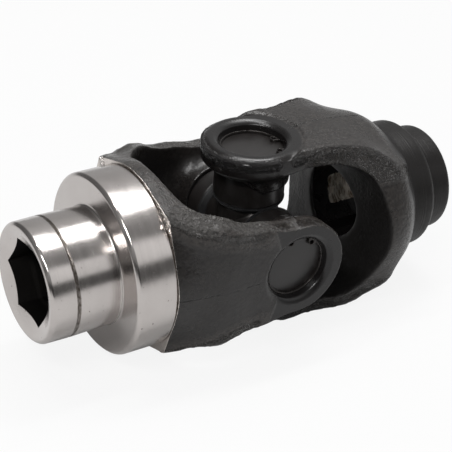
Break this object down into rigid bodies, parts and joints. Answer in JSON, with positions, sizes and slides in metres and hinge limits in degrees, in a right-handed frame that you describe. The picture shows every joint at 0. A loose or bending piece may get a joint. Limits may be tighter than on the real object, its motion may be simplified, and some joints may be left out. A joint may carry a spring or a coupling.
{
  "type": "universal joint shaft",
  "caption": "Short universal joint shaft with a hex-socket steel hub, two black forged yokes and a needle-bearing cross.",
  "frame": {"origin": "centre of the hex hub's front face, on the shaft axis", "axes": "+X along the shaft to the keyed rear bore, Y along the front yoke's pin axis, +Z along the rear yoke's pin axis"},
  "size_m": [0.1477, 0.0632, 0.0632],
  "materials": {
    "turned_steel": "fine turned",
    "black_paint": "satin black over forged scale",
    "cross_steel": "dark case-hardened steel",
    "cup_black": "satin black",
    "roller_steel": "ground",
    "seal_rubber": "matt",
    "thrust_plastic": "moulded",
    "circlip_steel": "blackened spring steel"
  },
  "bodies": {
    "hub_half": {"hex_hub": "turned_steel", "front_yoke": "black_paint", "front_near_cup": "cup_black", "front_near_washer": "thrust_plastic", "front_near_needles": "roller_steel", "front_near_seal": "seal_rubber", "front_near_circlip": "circlip_steel", "front_far_cup": "cup_black", "front_far_washer": "thrust_plastic", "front_far_needles": "roller_steel", "front_far_seal": "seal_rubber", "front_far_circlip": "circlip_steel"},
    "cross": {"cross": "cross_steel"},
    "keyed_half": {"rear_yoke": "black_paint", "rear_top_cup": "cup_black", "rear_top_washer": "thrust_plastic", "rear_top_needles": "roller_steel", "rear_top_seal": "seal_rubber", "rear_top_circlip": "circlip_steel", "rear_bottom_cup": "cup_black", "rear_bottom_washer": "thrust_plastic", "rear_bottom_needles": "roller_steel", "rear_bottom_seal": "seal_rubber", "rear_bottom_circlip": "circlip_steel"}
  },
  "joints": [
    {"name": "front_pin_hinge", "type": "hinge", "parent": "hub_half", "child": "cross", "pos_m": [0.0774, 0, 0], "axis": [0, 1, 0], "range_deg": [-35, 35]},
    {"name": "rear_pin_hinge", "type": "hinge", "parent": "cross", "child": "keyed_half", "pos_m": [0.0774, 0, 0], "axis": [0, 0, 1], "range_deg": [-35, 35]}
  ]
}
